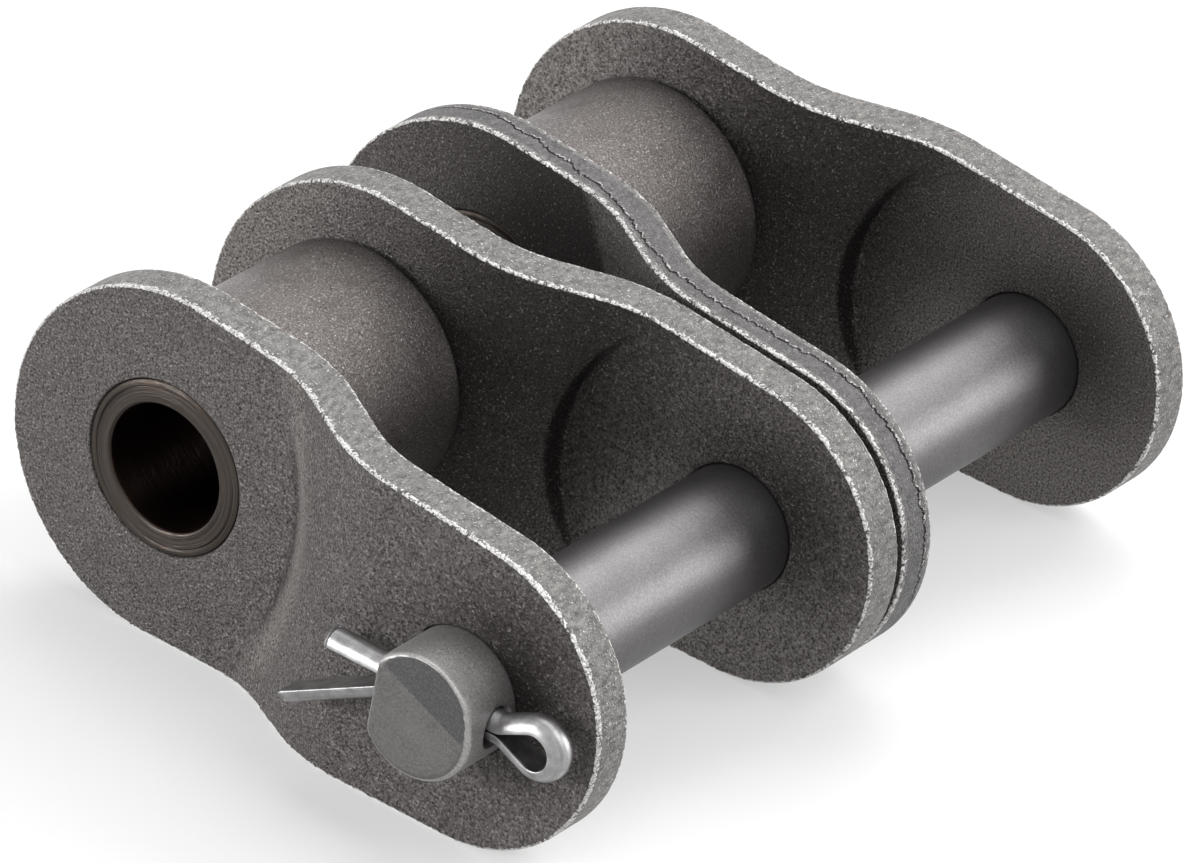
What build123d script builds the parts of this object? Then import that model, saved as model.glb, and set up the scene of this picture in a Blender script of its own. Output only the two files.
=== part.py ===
from build123d import *
from math import cos, radians, sin, sqrt, tan
import os

# Double-strand offset link of a roller chain. All sizes are in millimetres.
# The origin is on the axis of the bushes, midway between the two strands.
# +X runs from the bushes to the connecting pin, +Y along the pin towards its headed end, +Z up.
# Near means the -Y side, where the split pin is, and far means the +Y side.

# Chain sizes
pitch = 25.4
inner_width = 15.56
roller_d = 15.88
pin_d = 7.94

# Plates: their thickness, the play that the next link's plates get between them, and their outline
plate_t = 2.8
lap_gap = 1.15
middle_gap = 0.54
narrow_end_r = 11.4
wide_end_r = 9.9
plate_edge = 0.25

# Bend of a plate, measured at the middle of its thickness
bend_angle = 28.4
bend_r = 10.0
bend_shift = 0.7

# Lands coined flat into a plate: round the pin on the inner face, round the bush on the outer face
coin_depth = 0.06
pin_land_reach = 0.7
pin_land_draft = 8.0
bush_land_reach = 2.0
bush_land_r = 16.9
bush_land_draft = 45.0

# Bushes and rollers
bush_wall = 1.55
bore_gap = 0.08
bush_edge = 0.3
bore_edge = 0.15
roller_gap = 0.05
roller_side_gap = 0.18
roller_edge = 0.4

# Connecting pin: its fit, the flat and the cropped facet of its near end, and its far head
pin_gap = 0.03
pin_flat_depth = 0.87
pin_flat_shoulder = 0.1
pin_edge = 0.5
pin_beyond_cotter = 2.86
facet_rise = 1.37
facet_turn = -20.7
facet_tilt = 5.0
head_d = 9.4
head_t = 1.6
head_edge = 0.6
head_gap = 0.05

# Split pin, bent from half-round wire, and its hole
cotter_d = 2.0
cotter_split = 0.1
cotter_hole_gap = 0.3
cotter_off_plate = 0.3
cotter_turn = 3.5
cotter_lift = 0.2
eye_inner_r = 1.11
eye_flare = 25.0
neck_reach = 0.55
neck_r = 1.6
short_leg_reach = 4.1
long_leg_length = 9.2
long_leg_turn = 28.0
long_leg_bend_r = 1.6
long_leg_inset = 0.3

# Distances that follow from the sizes above
plate_offset = plate_t + lap_gap
half_width = inner_width / 2
plate_back = half_width + plate_offset + plate_t
strand_spacing = 2 * plate_back + middle_gap
near_strand = -strand_spacing / 2
far_strand = strand_spacing / 2
near_face = near_strand - plate_back
far_face = far_strand + plate_back

pin_r = pin_d / 2
pin_hole_r = pin_r + pin_gap
bore_r = pin_r + bore_gap
bush_r = bore_r + bush_wall
bush_length = inner_width + 2 * plate_t

cotter_hole_r = cotter_d / 2 + cotter_hole_gap
cotter_y = near_face - cotter_off_plate - cotter_hole_r
pin_near_end = cotter_y - pin_beyond_cotter
flat_x = pitch - pin_r + pin_flat_depth

os.makedirs("parts", exist_ok=True)


def coining_punch(centre_x, floor_y, direction, radius, draft):
    """The round punch that presses a land flat: a cone whose flank leans out by the draft angle."""
    height = 2 * plate_offset
    back_y = floor_y + direction * height
    back_radius = radius + height * tan(radians(draft))
    with BuildPart() as punch:
        with BuildSketch(Plane.XY):
            with BuildLine():
                Polyline(
                    (centre_x, floor_y),
                    (centre_x + radius, floor_y),
                    (centre_x + back_radius, back_y),
                    (centre_x, back_y),
                    close=True,
                )
            make_face()
        revolve(axis=Axis((centre_x, 0, 0), (0, 1, 0)))
    return punch.part


def offset_plate(strand, side, flat_hole=False):
    """One plate on the given side of its strand, -1 near or 1 far, bent away from its middle.

    A bent strip is cut to the outline and its rims are broken. Two lands are then coined flat,
    and the bush and pin holes are pierced. The near outer plate has a flat in its pin hole.
    """

    def across(depth):
        return strand + side * (half_width + depth)

    strip_t = plate_t + coin_depth
    rise = plate_offset - coin_depth
    run = rise / tan(radians(bend_angle))
    knee_shift = strip_t / 2 * tan(radians(bend_angle / 2))
    bend_x = pitch / 2 - bend_shift
    knee_in = bend_x - run / 2 + knee_shift
    knee_out = bend_x - run / 2 - knee_shift
    tight_r = bend_r - strip_t / 2
    wide_r = bend_r + strip_t / 2
    bush_end_x = -narrow_end_r
    pin_end_x = pitch + wide_end_r

    # The sides are straight and touch both round ends, so they lean in towards the pin
    lean = (narrow_end_r - wide_end_r) / pitch
    upright = sqrt(1 - lean**2)
    narrow_high = (narrow_end_r * lean, narrow_end_r * upright)
    narrow_low = (narrow_end_r * lean, -narrow_end_r * upright)
    wide_high = (pitch + wide_end_r * lean, wide_end_r * upright)
    wide_low = (pitch + wide_end_r * lean, -wide_end_r * upright)

    pin_land_r = pitch - bend_x - pin_land_reach
    pin_punch = coining_punch(pitch, across(plate_offset), -side, pin_land_r, pin_land_draft)
    bush_land_x = bend_x - bush_land_reach - bush_land_r
    bush_punch = coining_punch(bush_land_x, across(plate_t), side, bush_land_r, bush_land_draft)

    with BuildPart() as plate:
        with BuildSketch(Plane.XY):
            with BuildLine():
                inner = FilletPolyline(
                    (bush_end_x, across(0)),
                    (knee_in, across(0)),
                    (knee_in + run, across(rise)),
                    (pin_end_x, across(rise)),
                    radius=[wide_r, tight_r],
                )
                outer = FilletPolyline(
                    (bush_end_x, across(strip_t)),
                    (knee_out, across(strip_t)),
                    (knee_out + run, across(strip_t + rise)),
                    (pin_end_x, across(strip_t + rise)),
                    radius=[tight_r, wide_r],
                )
                Line(inner @ 0, outer @ 0)
                Line(inner @ 1, outer @ 1)
            make_face()
        extrude(amount=narrow_end_r + plate_t, both=True)

        with BuildSketch(Plane.XZ):
            with BuildLine():
                ThreePointArc(narrow_low, (-narrow_end_r, 0), narrow_high)
                Line(narrow_high, wide_high)
                ThreePointArc(wide_high, (pitch + wide_end_r, 0), wide_low)
                Line(wide_low, narrow_low)
            make_face()
        extrude(amount=2 * strand_spacing, both=True, mode=Mode.INTERSECT)

        rims = plate.edges() - plate.edges().filter_by(Axis.Y) - plate.edges().filter_by(Axis.Z)
        chamfer(rims, length=plate_edge)

        add(pin_punch, mode=Mode.SUBTRACT)
        add(bush_punch, mode=Mode.SUBTRACT)

        with BuildSketch(Plane.XZ):
            Circle(bush_r)
            with Locations((pitch, 0)):
                Circle(pin_hole_r)
            if flat_hole:
                with Locations((flat_x - pin_gap, 0)):
                    Rectangle(pin_d, 2 * pin_d, align=(Align.MAX, Align.CENTER), mode=Mode.SUBTRACT)
        extrude(amount=2 * strand_spacing, both=True, mode=Mode.SUBTRACT)
    return plate


# Four plates: each strand has a near and a far one, and all are held on the bushes by their press fit
plates = {
    "near_outer_plate": offset_plate(near_strand, -1, flat_hole=True),
    "near_inner_plate": offset_plate(near_strand, 1),
    "far_inner_plate": offset_plate(far_strand, -1),
    "far_outer_plate": offset_plate(far_strand, 1),
}
for label, plate in plates.items():
    plate.part.label = label
    export_step(plate.part, f"parts/{label}.step")


# Bushes and rollers: one of each turns in each strand's narrow end
for strand_name, strand in {"near": near_strand, "far": far_strand}.items():
    bush_end = strand - bush_length / 2
    with BuildPart() as bush:
        with BuildSketch(Plane.XZ.offset(-bush_end)):
            Circle(bush_r)
            Circle(bore_r, mode=Mode.SUBTRACT)
        extrude(amount=-bush_length)
        end_rims = bush.faces().filter_by(Axis.Y).edges().sort_by(SortBy.RADIUS)
        chamfer(end_rims[-2:], length=bush_edge)
        chamfer(end_rims[:2], length=bore_edge)
    bush.part.label = f"{strand_name}_bush"
    export_step(bush.part, f"parts/{strand_name}_bush.step")

    roller_length = inner_width - 2 * roller_side_gap
    with BuildPart() as roller:
        with BuildSketch(Plane.XZ.offset(-(strand - roller_length / 2))):
            Circle(roller_d / 2)
            Circle(bush_r + roller_gap, mode=Mode.SUBTRACT)
        extrude(amount=-roller_length)
        end_rims = roller.faces().filter_by(Axis.Y).edges().sort_by(SortBy.RADIUS)
        chamfer(end_rims[-2:], length=roller_edge)
    roller.part.label = f"{strand_name}_roller"
    export_step(roller.part, f"parts/{strand_name}_roller.step")


# Connecting pin: turned bar with a flat and a cropped facet at the near end and an upset far head
head_face = far_face + head_gap
flat_end = near_face + plate_t + pin_flat_shoulder
turn = radians(facet_turn)
tilt = radians(facet_tilt)
facet_plane = Plane(
    (pitch, pin_near_end, facet_rise),
    x_dir=(cos(turn), 0, sin(turn)),
    z_dir=(-sin(tilt) * sin(turn), -cos(tilt), sin(tilt) * cos(turn)),
)
along_cotter = (cos(radians(cotter_turn)), 0, sin(radians(cotter_turn)))

with BuildPart() as pin:
    with BuildSketch(Plane((pitch, pin_near_end, 0), x_dir=(0, 0, -1), z_dir=(0, 1, 0))):
        Circle(pin_r)
    extrude(amount=head_face - pin_near_end)
    with BuildSketch(Plane.XZ.offset(-pin_near_end)):
        with Locations((flat_x, 0)):
            Rectangle(pin_d, 2 * pin_d, align=(Align.MAX, Align.CENTER))
    extrude(amount=pin_near_end - flat_end, mode=Mode.SUBTRACT)
    chamfer(pin.faces().sort_by(Axis.Y)[0].edges(), length=pin_edge)
    with BuildSketch(facet_plane):
        Rectangle(2 * pin_d, pin_d, align=(Align.CENTER, Align.MIN))
    extrude(amount=pin_d, mode=Mode.SUBTRACT)

    with BuildSketch(Plane.XZ.offset(-head_face)):
        with Locations((pitch, 0)):
            Circle(head_d / 2)
    extrude(amount=-head_t)
    chamfer(pin.faces().sort_by(Axis.Y)[-1].edges(), length=head_edge)

    with BuildSketch(Plane((pitch, cotter_y, 0), x_dir=(0, 1, 0), z_dir=along_cotter)):
        Circle(cotter_hole_r)
    extrude(amount=pin_d, both=True, mode=Mode.SUBTRACT)
pin.part.label = "connecting_pin"
export_step(pin.part, "parts/connecting_pin.step")


# Split pin: half-round wire folded to an eye, flat side in. The flat of the wire follows this path.
# The short leg stays straight, and the long leg is bent down to keep the split pin in.
wire_r = (cotter_d - cotter_split) / 2
leg_v = cotter_split / 2
flare = radians(eye_flare)
neck_u = pin_r + neck_reach
eye_u = neck_u + eye_inner_r * sin(flare) + (eye_inner_r * cos(flare) - leg_v) / tan(flare)
cheek = (eye_u - eye_inner_r * sin(flare), eye_inner_r * cos(flare))
bend_u = flat_x - pitch + long_leg_inset
short_tip_u = -pin_r - short_leg_reach
long_turn = radians(long_leg_turn)
long_tip = (bend_u - long_leg_length * cos(long_turn), -leg_v - long_leg_length * sin(long_turn))
cotter_plane = Plane((pitch, cotter_y, cotter_lift), x_dir=along_cotter, z_dir=(0, -1, 0))

with BuildPart() as cotter:
    with BuildLine(cotter_plane) as wire_path:
        FilletPolyline((short_tip_u, leg_v), (neck_u, leg_v), cheek, radius=neck_r)
        ThreePointArc(cheek, (eye_u + eye_inner_r, 0), (cheek[0], -cheek[1]))
        FilletPolyline(
            (cheek[0], -cheek[1]),
            (neck_u, -leg_v),
            (bend_u, -leg_v),
            long_tip,
            radius=[neck_r, long_leg_bend_r],
        )
    start = cotter_plane.from_local_coords((short_tip_u, leg_v))
    with BuildSketch(Plane(start, x_dir=(0, -1, 0), z_dir=along_cotter)):
        Circle(wire_r)
        Rectangle(2 * cotter_d, cotter_d, align=(Align.CENTER, Align.MIN), mode=Mode.SUBTRACT)
    sweep()
cotter.part.label = "cotter_pin"
export_step(cotter.part, "parts/cotter_pin.step")
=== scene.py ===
"""Double-strand offset link of a roller chain, lying on a white ground under soft studio light.

The sections follow the link as it is put together: plates, bushes, rollers, connecting pin and
split pin. Sizes are in millimetres and become metres when a piece's mesh is made.
"""

import bpy
import numpy as np
from mathutils import Matrix, Vector


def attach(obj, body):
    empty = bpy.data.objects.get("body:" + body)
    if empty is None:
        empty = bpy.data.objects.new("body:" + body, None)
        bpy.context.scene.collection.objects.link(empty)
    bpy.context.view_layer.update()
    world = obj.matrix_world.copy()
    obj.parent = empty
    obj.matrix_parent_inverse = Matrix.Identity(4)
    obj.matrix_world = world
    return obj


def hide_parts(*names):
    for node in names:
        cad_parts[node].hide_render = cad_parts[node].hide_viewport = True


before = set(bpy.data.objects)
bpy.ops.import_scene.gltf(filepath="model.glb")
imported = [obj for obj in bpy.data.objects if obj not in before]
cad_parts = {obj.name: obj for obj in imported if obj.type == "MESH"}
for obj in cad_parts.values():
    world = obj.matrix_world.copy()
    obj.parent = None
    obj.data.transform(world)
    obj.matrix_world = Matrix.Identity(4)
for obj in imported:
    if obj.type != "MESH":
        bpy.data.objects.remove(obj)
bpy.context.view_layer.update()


# Four offset plates: medium-carbon steel strip, bent, blanked and pierced, with two lands coined
# flat. Hardening and shot peening leave a grey leathery skin of tiny dents. The blanked edge keeps
# a light torn band, and handling wears the skin off the rims down to bright metal.
strip_t, plate_t = 2.86, 2.8
plate_offset, half_width = 3.95, 7.78
pitch, narrow_end_r, wide_end_r = 25.4, 11.4, 9.9
bend_angle, tight_r, wide_r = np.radians(28.4), 8.57, 11.43
inner_knee_x, outer_knee_x = 8.765, 8.041
pin_land_r, pin_land_foot_r, pin_land_flank = 12.7, 12.8, np.radians(8)
bush_land_x, bush_land_r = -6.9, 16.9
pin_flank_soft, bush_flank_soft, crease_soft = 0.083666, 0.34641, 0.05
drag, drag_reach = 0.6, 0.9
bush_hole_r, pin_hole_r, hole_flat_x, hole_edge = 5.6, 4.0, 22.27, 0.12
rim_r, split_x, split_count = 0.2, 11.5, 100
# The first is the strongest painted shade on the plates
full_painted_shade, rim_wear_reach, no_tear = 1.7, 0.3, -9.0


def linear(colour):
    """A colour written as sRGB hex, turned to linear red, green, blue and full alpha."""
    srgb = np.array([int(colour[i : i + 2], 16) for i in (1, 3, 5)]) / 255
    low = srgb / 12.92
    high = ((srgb + 0.055) / 1.055) ** 2.4
    return (*np.where(srgb <= 0.04045, low, high), 1.0)


def add_node(tree, kind, inputs=None, **settings):
    """Adds one shader node. inputs maps a socket's name or number to a value, a socket or a node.

    A node stands there for its first output in use.
    """
    made = tree.nodes.new(kind)
    for name, value in settings.items():
        setattr(made, name, value)
    for name, value in (inputs or {}).items():
        if isinstance(value, bpy.types.Node):
            value = next(output for output in value.outputs if output.enabled)
        if isinstance(value, bpy.types.NodeSocket):
            tree.links.new(value, made.inputs[name])
        else:
            made.inputs[name].default_value = value
    return made


def new_material(name):
    """An empty node material and its tree."""
    material = bpy.data.materials.new(name)
    material.use_nodes = True
    material.node_tree.nodes.clear()
    return material, material.node_tree


def layered(tree, ground, layers):
    """Colours laid one over another on a ground colour.

    A layer's cover rises in a straight line from nothing, where its pattern has the value start,
    to most, where it has the value stop, and is level outside them.
    """
    for pattern, start, stop, most, colour in layers:
        cover = {"Value": pattern, "From Min": start, "From Max": stop, "To Max": most}
        cover = add_node(tree, "ShaderNodeMapRange", cover)
        inputs = {"Factor": cover, "A": ground, "B": colour}
        ground = add_node(tree, "ShaderNodeMix", inputs, data_type="RGBA")
    return ground


def grid(points, flip, uv=None, **marks):
    """A surface patch: points on a grid of two parameters, a UV in mm and marks per point."""
    return {
        "points": points,
        "flip": flip,
        "uv": points[..., ::2] if uv is None else uv,
        "marks": {name: np.broadcast_to(mark, points.shape[:2]) for name, mark in marks.items()},
    }


def make_piece(name, patches, material, node, body):
    """A mesh object from patches that share their borders.

    Each grid cell is a four-sided face. Points of different patches that fall together within a
    ten-thousandth of a millimetre become one, which closes seams and poles. A cell with a side
    of no length loses that corner, and one with fewer than three corners left is dropped. The
    object replaces its CAD node, rides its body and has its slot.
    """
    corners, flat_points, flat_uvs, first = [], [], [], 0
    for patch in patches:
        rows, columns = patch["points"].shape[:2]
        number = first + np.arange(rows * columns).reshape(rows, columns)
        around = [number[:-1, :-1], number[1:, :-1], number[1:, 1:], number[:-1, 1:]]
        cells = np.stack(around[::-1] if patch["flip"] else around, -1).reshape(-1, 4)
        corners.append(cells)
        flat_points.append(patch["points"].reshape(-1, 3))
        flat_uvs.append(patch["uv"].reshape(-1, 2))
        first += rows * columns
    corners = np.concatenate(corners)
    points = np.concatenate(flat_points)
    uvs = np.concatenate(flat_uvs)

    rounded = np.round(points * 1e4).astype(np.int64)
    chosen, joined = np.unique(rounded, axis=0, return_index=True, return_inverse=True)[1:]
    cells = joined.ravel()[corners]
    kept = cells != np.roll(cells, -1, axis=1)
    kept[kept.sum(1) < 3] = False
    sizes = kept.sum(1)
    sizes = sizes[sizes > 0]

    mesh = bpy.data.meshes.new(name)
    mesh.vertices.add(len(chosen))
    mesh.vertices.foreach_set("co", (points[chosen] / 1000).ravel())
    mesh.loops.add(int(sizes.sum()))
    mesh.loops.foreach_set("vertex_index", cells[kept])
    mesh.polygons.add(len(sizes))
    mesh.polygons.foreach_set("loop_start", np.concatenate([[0], np.cumsum(sizes)[:-1]]))
    mesh.polygons.foreach_set("use_smooth", np.ones(len(sizes), bool))
    mesh.uv_layers.new(name="surface_mm")
    mesh.uv_layers["surface_mm"].data.foreach_set("uv", uvs[corners[kept]].ravel())
    for mark in patches[0]["marks"]:
        values = np.concatenate([patch["marks"][mark].ravel() for patch in patches])
        mesh.attributes.new(mark, "FLOAT", "POINT")
        mesh.attributes[mark].data.foreach_set("value", values[chosen])
    mesh.update()
    mesh.validate()
    mesh.materials.append(material)

    piece = bpy.data.objects.new(name, mesh)
    bpy.context.scene.collection.objects.link(piece)
    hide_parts(node)
    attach(piece, body)


def strip_depth(x, knee, first_r, second_r):
    """One face of the bent strip: level, up a slope at the bend angle, then level again.

    Each knee is an arc of its radius, touching both straight lines.
    """
    slope = np.tan(bend_angle)
    rise = plate_offset - (strip_t - plate_t)
    far_knee = knee + rise / slope
    start = knee - first_r * np.tan(bend_angle / 2)
    end = far_knee + second_r * np.tan(bend_angle / 2)
    reach_1 = np.clip(x - start, 0, first_r * np.sin(bend_angle))
    reach_2 = np.clip(end - x, 0, second_r * np.sin(bend_angle))
    first_arc = first_r - np.sqrt(first_r**2 - reach_1**2)
    second_arc = rise - second_r + np.sqrt(second_r**2 - reach_2**2)
    middle = np.clip((x - knee) * slope, 0, rise)
    depth = np.where(x < start + first_r * np.sin(bend_angle), first_arc, middle)
    return np.where(x > end - second_r * np.sin(bend_angle), second_arc, depth)


def softly(a, b, softness, sign):
    """The larger (sign 1) or smaller (sign -1) of two depths, with their crease rounded.

    It is half their sum, plus or minus half the root of the squares of their difference and of
    the softness.
    """
    return (a + b + sign * np.sqrt((a - b) ** 2 + softness**2)) / 2


def bell(distance, spread):
    """1 at no distance, and elsewhere exp of minus the square of the distance in spreads."""
    return np.exp(-((distance / spread) ** 2))


def inner_depth(x, z):
    """Inner face: the strip, coined flat round the pin by a punch with a steep flank.

    Beside the flank the strip is dragged down by an amount that dies away with the distance.
    """
    strip = strip_depth(x, inner_knee_x, wide_r, tight_r)
    beyond = np.hypot(x - pitch, z) - pin_land_r
    punched = plate_offset - softly(beyond, 0, pin_flank_soft, 1) / np.tan(pin_land_flank)
    dragged = drag * np.exp(-np.maximum(beyond, 0) / drag_reach)
    dragged = dragged * np.clip(plate_offset - strip, 0, 1)
    return softly(strip + dragged, punched, crease_soft, 1)


def outer_depth(x, z):
    """Outer face: the strip, coined flat round the bush by a punch with a 45 degree flank.

    The crease between them is softer the further the strip has risen.
    """
    strip = strip_t + strip_depth(x, outer_knee_x, tight_r, wide_r)
    beyond = np.hypot(x - bush_land_x, z) - bush_land_r
    punched = plate_t + softly(beyond, 0, bush_flank_soft, 1)
    return softly(strip, punched, crease_soft + 0.25 * np.clip(strip - strip_t, 0, 1), -1)


def plate_rays():
    """The flat outline, and rays from each hole out to it.

    The outline is two round ends joined by straight sides that touch both. It is split at one x,
    and the split's own points belong to both halves. Each ray has its outline point and the
    outward normal there.
    """
    lean = (narrow_end_r - wide_end_r) / pitch
    upright = np.sqrt(1 - lean**2)
    touch = np.arccos(lean)
    split = (split_x - narrow_end_r * lean) / upright
    side_end = pitch * upright

    def side(start, stop, count, up):
        run = np.linspace(start, stop, count)
        x = narrow_end_r * lean + run * upright
        z = up * (narrow_end_r * upright - run * lean)
        normal = np.stack([np.full(count, lean), np.full(count, up * upright)], -1)
        return np.stack([x, z], -1), normal

    def end(centre, radius, start, stop, count):
        angle = np.linspace(start, stop, count)
        normal = np.stack([np.cos(angle), np.sin(angle)], -1)
        return normal * radius + [centre, 0], normal

    narrow = [
        side(split, 0, 56, 1),
        end(0, narrow_end_r, touch, 2 * np.pi - touch, 190),
        side(0, split, 56, -1),
    ]
    wide = [
        side(split, side_end, 72, -1),
        end(pitch, wide_end_r, -touch, touch, 150),
        side(side_end, split, 72, 1),
    ]
    halves = []
    for parts in (narrow, wide):
        points = np.concatenate([part[0][(i > 0) :] for i, part in enumerate(parts)])
        normals = np.concatenate([part[1][(i > 0) :] for i, part in enumerate(parts)])
        halves.append((points, normals))
    return halves


def hole_to_rim(centre, hole_r, rim, levels, dense_at, flat_x):
    """Grid of points from a round hole out to the rim, along rays from the hole's centre.

    The points crowd together at the hole's edge and at the foot of the coined land, in the
    measure that a running sum of a density over the radius gives. A flat cuts the side of the
    hole off at one x.
    """
    radius = np.linspace(2, 20, 1801)
    at_edge = 5 * np.exp(-np.abs(radius - hole_r) / hole_edge)
    crowding = np.cumsum(1 + at_edge + 6 * bell(radius - dense_at, 0.25))
    away = rim - [centre, 0]
    reach = np.hypot(*away.T)
    direction = away / reach[:, None]
    start = np.full(len(reach), float(hole_r))
    if flat_x is not None:
        to_flat = (flat_x - centre) / np.minimum(direction[:, 0], -1e-6)
        start = np.minimum(start, to_flat)
    first = np.interp(start, radius, crowding)
    last = np.interp(reach, radius, crowding)
    share = np.linspace(0, 1, levels)
    along = np.interp(first[:, None] + share * (last - first)[:, None], crowding, radius)
    along[:, 0] = start
    along[:, -1] = reach
    return [centre, 0] + along[..., None] * direction[:, None], along - start[:, None]


def offset_plate(strand, side, rim_wear, torn, flat_x):
    """Patches of one plate: its faces, rounded rims, blanked band and the walls of its holes.

    A face point's place across the plate is its face's depth there. A rim point runs a quarter
    circle from the face to the band, and stands out by a random burr. The band joins the rims in
    straight lines across the plate. The rims' wear is that of the nearer and the further one.
    Painted shading is a sum of bell curves: painted shade where it is above nothing, painted light
    below.
    """

    def place(flat, depth):
        """Flat points (x, z) set at their depths beyond the strand's half width."""
        y = strand + side * (half_width + depth)
        return np.stack([flat[..., 0], y, flat[..., 1]], -1)

    def painted_pin_shadow(x, z):
        """Painted shadow of the pin's stub, strongest just past the pin and above it."""
        return full_painted_shade * bell(np.hypot(x - pitch - 3, z - 3), 5)

    def inner_film(x, z):
        """Painted shade along the bend and a little past it, and painted light before the pin."""
        from_bend = x - 9 - 0.5 * z * np.clip((x - 9) / 6, 0, 1)
        painted_light = 0.35 + 0.75 * bell(np.hypot(x - pitch + 4, z + 2.5), 8)
        return full_painted_shade * bell(from_bend, 8.5) + painted_pin_shadow(x, z) - painted_light

    def outer_film(x, z):
        """Painted shade between the strands up to the bush's land, or a ring of painted light
        round it.
        """
        beyond_land = np.hypot(x - bush_land_x, z) - bush_land_r
        if facing_other_strand:
            past_land = np.clip(beyond_land / 0.4, 0, 1)
            return full_painted_shade * bell(x - 6, 12) * (1 - past_land) + 0.2 * past_land
        rise = strip_depth(x, outer_knee_x, tight_r, wide_r)
        # A ring of painted light on the slope round the bush's land
        painted_light = 0.4 * bell(beyond_land - 1.1, 0.9) * np.clip(rise / 0.8, 0, 1)
        return painted_pin_shadow(x, z) - painted_light

    facing_other_strand = side * strand < 0
    patches = []
    halves = plate_rays()
    # Each hole: its centre, its radius, the rows of points out to the rim, and where they crowd
    holes = ((0.0, bush_hole_r, 21, 0.0, None), (pitch, pin_hole_r, 36, pin_land_foot_r, flat_x))
    for (outline, normals), (centre, hole_r, levels, dense_at, flat) in zip(halves, holes):
        rim = outline - rim_r * normals
        split = np.linspace(rim[-1], rim[0], split_count)
        loop = np.concatenate([rim, split[1:]])
        flat_grid, from_hole = hole_to_rim(centre, hole_r, loop, levels, dense_at, flat)
        near_edge = np.clip(hole_edge - from_hole, 0, hole_edge)
        drop = hole_edge - np.sqrt(hole_edge**2 - near_edge**2)
        x, z = flat_grid[..., 0], flat_grid[..., 1]
        inner = place(flat_grid, inner_depth(x, z) + drop)
        outer = place(flat_grid, outer_depth(x, z) - drop)
        wall = np.stack([inner[:, 0], outer[:, 0]], 1)
        # Marks for painted shade at the foot of the pin's land and in the valley round the bush's
        # land
        fall = plate_offset - strip_depth(x, inner_knee_x, wide_r, tight_r)
        foot = bell(np.hypot(x - pitch, z) - pin_land_foot_r, 0.2) * np.clip(fall / 1.2, 0, 1)
        rise = strip_depth(x, outer_knee_x, tight_r, wide_r)
        valley = bell(np.hypot(x - bush_land_x, z) - bush_land_r + 0.15, 0.35)
        valley = 0.65 * valley * np.clip(rise / 0.6, 0, 1)
        unworn = {"band": 0.0, "wear": 0.0, "tear_at": no_tear}
        patches.append(grid(inner, side > 0, fold=foot, film=inner_film(x, z), **unworn))
        patches.append(grid(outer, side < 0, fold=valley, film=outer_film(x, z), **unworn))
        # The holes' walls carry painted shade
        patches.append(grid(wall, side < 0, fold=0.0, film=1.0, **unworn))

    outline = np.concatenate([halves[1][0], halves[0][0][1:]])
    normals = np.concatenate([halves[1][1], halves[0][1][1:]])
    steps = np.hypot(*np.diff(outline, axis=0, prepend=outline[:1]).T)
    run = np.cumsum(steps)[:, None]
    turn = np.linspace(0, np.pi / 2, 6)
    inset = rim_r * (1 - np.sin(turn))
    drop = rim_r * (1 - np.cos(turn))
    flat = outline[:, None] - inset[:, None] * normals[:, None]
    x, z = flat[..., 0], flat[..., 1]
    burr_seed = int(5 * strand + side) + 99
    burr = np.random.default_rng(burr_seed).normal(size=(2, len(outline)))
    burr[:, -1] = burr[:, 0]
    near_burr, far_burr = 0.035 * burr[0], 0.02 * burr[1]
    crest = np.sin(2 * turn) ** 2
    inner_burr, outer_burr = (near_burr, far_burr) if side > 0 else (far_burr, near_burr)
    inner = inner_depth(x, z) + drop - inner_burr[:, None] * crest
    outer = outer_depth(x, z) - drop + outer_burr[:, None] * crest
    inner_wear, outer_wear = rim_wear if side > 0 else rim_wear[::-1]
    # Wear round the quarter circle is most on the part that stands out
    worn = np.interp(turn, [0, 0.3, 0.7, 1.1, 1.6], [0.3, 0.75, 1.0, 0.85, 0.6])
    band = turn / (np.pi / 2)
    total = outer_depth(outline[:, 0], outline[:, 1])[:, None]
    for depth, wear, flip, film in (
        (inner, inner_wear, side > 0, inner_film),
        (outer, outer_wear, side < 0, outer_film),
    ):
        uv = np.stack(np.broadcast_arrays(run, (total - depth) * side), -1)
        marks = {"band": band, "wear": wear * worn, "tear_at": no_tear, "fold": 0.0}
        patches.append(grid(place(flat, depth), flip, uv, film=film(x, z) * (1 - band), **marks))

    # The tear's place along the outline, as a share of the way from the outer to the inner face
    torn_run = [0, 18, 30, 42, 50, 55, 60, 63, 67, 72, 80, 92, 110]
    torn_share = [0.9, 0.8, 0.72, 0.66, 0.5, 0.4, 0.28, 0.3, 0.45, 0.62, 0.76, 0.85, 0.9]
    tear_at = np.interp(run, torn_run, torn_share) * plate_t if torn else no_tear
    across = np.linspace(0, 1, 9)
    depth = inner[:, -1:] + across * (outer[:, -1:] - inner[:, -1:])
    flat = np.repeat(outline[:, None], len(across), axis=1)
    uv = np.stack(np.broadcast_arrays(run, (total - depth) * side), -1)
    band_width = plate_t - 2 * rim_r
    wear = inner_wear * np.exp(-across * band_width / rim_wear_reach)
    wear = 0.6 * (wear + outer_wear * np.exp(-(1 - across) * band_width / rim_wear_reach))
    marks = {"band": 1.0, "wear": wear, "tear_at": tear_at, "fold": 0.0, "film": 0.0}
    patches.append(grid(place(flat, depth), side > 0, uv, **marks))
    return patches
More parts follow.
